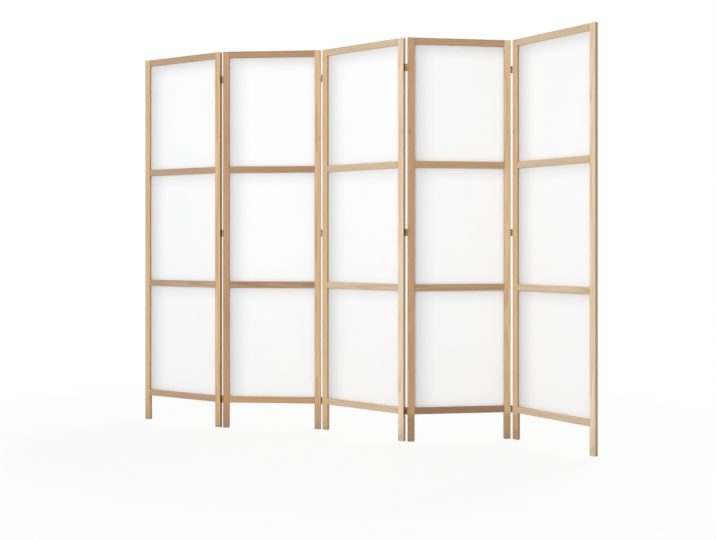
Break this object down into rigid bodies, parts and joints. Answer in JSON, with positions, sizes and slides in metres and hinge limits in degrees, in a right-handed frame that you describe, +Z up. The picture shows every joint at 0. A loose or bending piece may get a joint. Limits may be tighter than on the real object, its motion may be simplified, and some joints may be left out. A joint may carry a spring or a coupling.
{
  "type": "folding room screen",
  "caption": "Free-standing folding room screen with white sheets in slim pine frames, joined by two-way brass hinges.",
  "frame": {"origin": "on the floor, under the middle of the standing screen's bounding box", "axes": "+X along the line between the screen's two ends, from panel 1 to panel 5; +Y to its back, away from the room that it faces; +Z up"},
  "size_m": [2.1442, 0.2924, 1.72],
  "materials": {
    "stile_pine": "clear satin lacquer on planed pine",
    "rail_pine": "clear satin lacquer on planed pine",
    "bead_pine": "planed pine",
    "white_sheet": "matt white woven cloth, slightly translucent",
    "dowel_beech": "fluted dowel wood",
    "antique_brass": "aged brass plating, satin",
    "brass_screws": "aged brass plating, satin"
  },
  "bodies": {
    "panel_1": {"panel_1_left_stile": "stile_pine", "panel_1_right_stile": "stile_pine", "panel_1_top_rail": "rail_pine", "panel_1_middle_rails": "rail_pine", "panel_1_bottom_rail": "rail_pine", "panel_1_sheet": "white_sheet", "panel_1_beads": "bead_pine", "panel_1_dowels": "dowel_beech", "panel_1_hinge_leaves": "antique_brass", "panel_1_screws": "brass_screws"},
    "panel_2": {"panel_2_left_stile": "stile_pine", "panel_2_right_stile": "stile_pine", "panel_2_top_rail": "rail_pine", "panel_2_middle_rails": "rail_pine", "panel_2_bottom_rail": "rail_pine", "panel_2_sheet": "white_sheet", "panel_2_beads": "bead_pine", "panel_2_dowels": "dowel_beech", "panel_2_hinge_leaves": "antique_brass", "panel_2_screws": "brass_screws"},
    "panel_3": {"panel_3_left_stile": "stile_pine", "panel_3_right_stile": "stile_pine", "panel_3_top_rail": "rail_pine", "panel_3_middle_rails": "rail_pine", "panel_3_bottom_rail": "rail_pine", "panel_3_sheet": "white_sheet", "panel_3_beads": "bead_pine", "panel_3_dowels": "dowel_beech", "panel_3_hinge_leaves": "antique_brass", "panel_3_screws": "brass_screws"},
    "panel_4": {"panel_4_left_stile": "stile_pine", "panel_4_right_stile": "stile_pine", "panel_4_top_rail": "rail_pine", "panel_4_middle_rails": "rail_pine", "panel_4_bottom_rail": "rail_pine", "panel_4_sheet": "white_sheet", "panel_4_beads": "bead_pine", "panel_4_dowels": "dowel_beech", "panel_4_hinge_leaves": "antique_brass", "panel_4_screws": "brass_screws"},
    "panel_5": {"panel_5_left_stile": "stile_pine", "panel_5_right_stile": "stile_pine", "panel_5_top_rail": "rail_pine", "panel_5_middle_rails": "rail_pine", "panel_5_bottom_rail": "rail_pine", "panel_5_sheet": "white_sheet", "panel_5_beads": "bead_pine", "panel_5_dowels": "dowel_beech", "panel_5_hinge_leaves": "antique_brass", "panel_5_screws": "brass_screws"},
    "hinge_12": {"hinge_12_middle_leaves": "antique_brass", "hinge_12_pins": "antique_brass"},
    "hinge_23": {"hinge_23_middle_leaves": "antique_brass", "hinge_23_pins": "antique_brass"},
    "hinge_34": {"hinge_34_middle_leaves": "antique_brass", "hinge_34_pins": "antique_brass"},
    "hinge_45": {"hinge_45_middle_leaves": "antique_brass", "hinge_45_pins": "antique_brass"}
  },
  "joints": [
    {"name": "fold_34_back", "type": "hinge", "parent": "panel_3", "child": "hinge_34", "pos_m": [0.26707, -0.09502, 0], "axis": [0, 0, 1], "range_deg": [-46, 134]},
    {"name": "fold_34_front", "type": "hinge", "parent": "hinge_34", "child": "panel_4", "pos_m": [0.27959, -0.10916, 0], "axis": [0, 0, 1], "range_deg": [-175, 0]},
    {"name": "fold_45_back", "type": "hinge", "parent": "panel_4", "child": "hinge_45", "pos_m": [0.65756, 0.14392, 0], "axis": [0, 0, -1], "range_deg": [-175, 0]},
    {"name": "fold_45_front", "type": "hinge", "parent": "hinge_45", "child": "panel_5", "pos_m": [0.67008, 0.12978, 0], "axis": [0, 0, -1], "range_deg": [-61, 119]},
    {"name": "fold_23_front", "type": "hinge", "parent": "panel_3", "child": "hinge_23", "pos_m": [-0.17755, 0.00106, 0], "axis": [0, 0, 1], "range_deg": [-33, 147]},
    {"name": "fold_23_back", "type": "hinge", "parent": "hinge_23", "child": "panel_2", "pos_m": [-0.18657, 0.01765, 0], "axis": [0, 0, 1], "range_deg": [-175, 0]},
    {"name": "fold_12_front", "type": "hinge", "parent": "panel_2", "child": "hinge_12", "pos_m": [-0.61179, -0.14392, 0], "axis": [0, 0, -1], "range_deg": [-175, 0]},
    {"name": "fold_12_back", "type": "hinge", "parent": "hinge_12", "child": "panel_1", "pos_m": [-0.62081, -0.12733, 0], "axis": [0, 0, -1], "range_deg": [-25, 155]}
  ]
}
